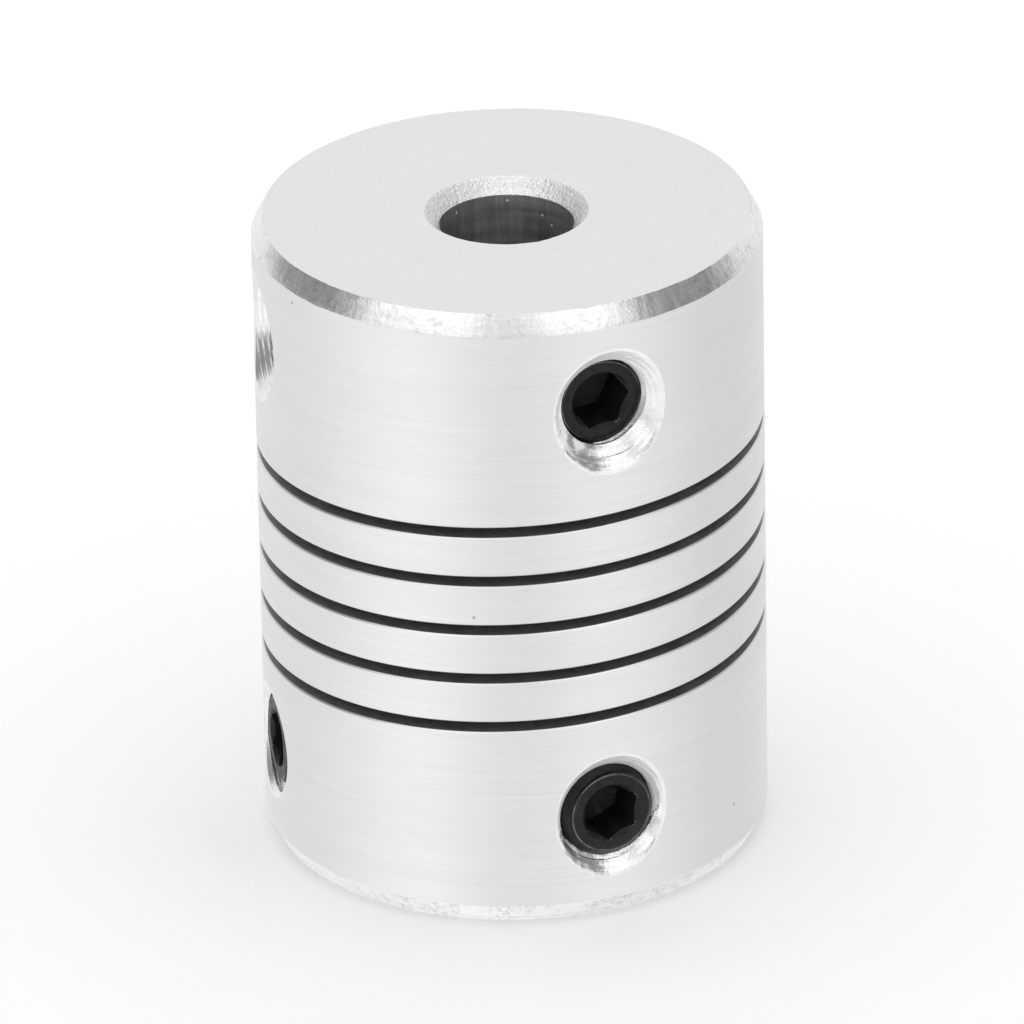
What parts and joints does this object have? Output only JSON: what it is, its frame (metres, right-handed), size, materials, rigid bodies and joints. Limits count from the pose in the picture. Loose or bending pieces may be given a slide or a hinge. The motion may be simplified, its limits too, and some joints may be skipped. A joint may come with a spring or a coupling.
{
  "type": "beam coupling",
  "caption": "Beam coupling that joins a 5 mm and an 8 mm shaft: a round metal body whose helical slit flexes between two hubs with radial hex-socket set screws.",
  "frame": {"origin": "centre of the lower end face, which is the end with the 8 mm bore", "axes": "+Z along the bore axis, towards the end with the 5 mm bore; -Y is the front, about 23 degrees clockwise, seen from above, from the front set screws"},
  "size_m": [0.019, 0.019, 0.025],
  "materials": {
    "aluminium_body": "satin",
    "black_screw": "satin"
  },
  "bodies": {
    "lower_hub": {"lower_hub": "aluminium_body"},
    "beam_segment_1": {"beam_segment_1": "aluminium_body"},
    "beam_segment_2": {"beam_segment_2": "aluminium_body"},
    "beam_segment_3": {"beam_segment_3": "aluminium_body"},
    "beam_segment_4": {"beam_segment_4": "aluminium_body"},
    "beam_segment_5": {"beam_segment_5": "aluminium_body"},
    "upper_hub": {"upper_hub": "aluminium_body"},
    "upper_front_set_screw": {"upper_front_set_screw": "black_screw"},
    "upper_left_set_screw": {"upper_left_set_screw": "black_screw"},
    "lower_front_set_screw": {"lower_front_set_screw": "black_screw"},
    "lower_left_set_screw": {"lower_left_set_screw": "black_screw"}
  },
  "joints": [
    {"name": "lower_bend_x", "type": "hinge", "parent": "lower_hub", "child": "beam_segment_1", "pos_m": [0, 0, 0.0088], "axis": [1, 0, 0], "range_deg": [-1, 1]},
    {"name": "lower_bend_y", "type": "hinge", "parent": "beam_segment_1", "child": "beam_segment_2", "pos_m": [0, 0, 0.0093], "axis": [0, 1, 0], "range_deg": [-1, 1]},
    {"name": "stretch", "type": "slide", "parent": "beam_segment_2", "child": "beam_segment_3", "axis": [0, 0, 1], "range_m": [-0.0002, 0.0002]},
    {"name": "wind_up", "type": "hinge", "parent": "beam_segment_3", "child": "beam_segment_4", "pos_m": [0, 0, 0.0133], "axis": [0, 0, 1], "range_deg": [-1, 1]},
    {"name": "upper_bend_y", "type": "hinge", "parent": "beam_segment_4", "child": "beam_segment_5", "pos_m": [0, 0, 0.0153], "axis": [0, 1, 0], "range_deg": [-1, 1]},
    {"name": "upper_bend_x", "type": "hinge", "parent": "beam_segment_5", "child": "upper_hub", "pos_m": [0, 0, 0.0158], "axis": [1, 0, 0], "range_deg": [-1, 1]},
    {"name": "upper_front_screw_travel", "type": "slide", "parent": "upper_hub", "child": "upper_front_set_screw", "axis": [0.3955, -0.9184, 0], "range_m": [-0.0021, 0.0021]},
    {"name": "upper_left_screw_travel", "type": "slide", "parent": "upper_hub", "child": "upper_left_set_screw", "axis": [-0.9845, -0.1754, 0], "range_m": [-0.0007, 0.0035]},
    {"name": "lower_front_screw_travel", "type": "slide", "parent": "lower_hub", "child": "lower_front_set_screw", "axis": [0.3795, -0.9252, 0], "range_m": [-0.0014, 0.0014]},
    {"name": "lower_left_screw_travel", "type": "slide", "parent": "lower_hub", "child": "lower_left_set_screw", "axis": [-0.9744, -0.225, 0], "range_m": [-0.0014, 0.0014]}
  ]
}
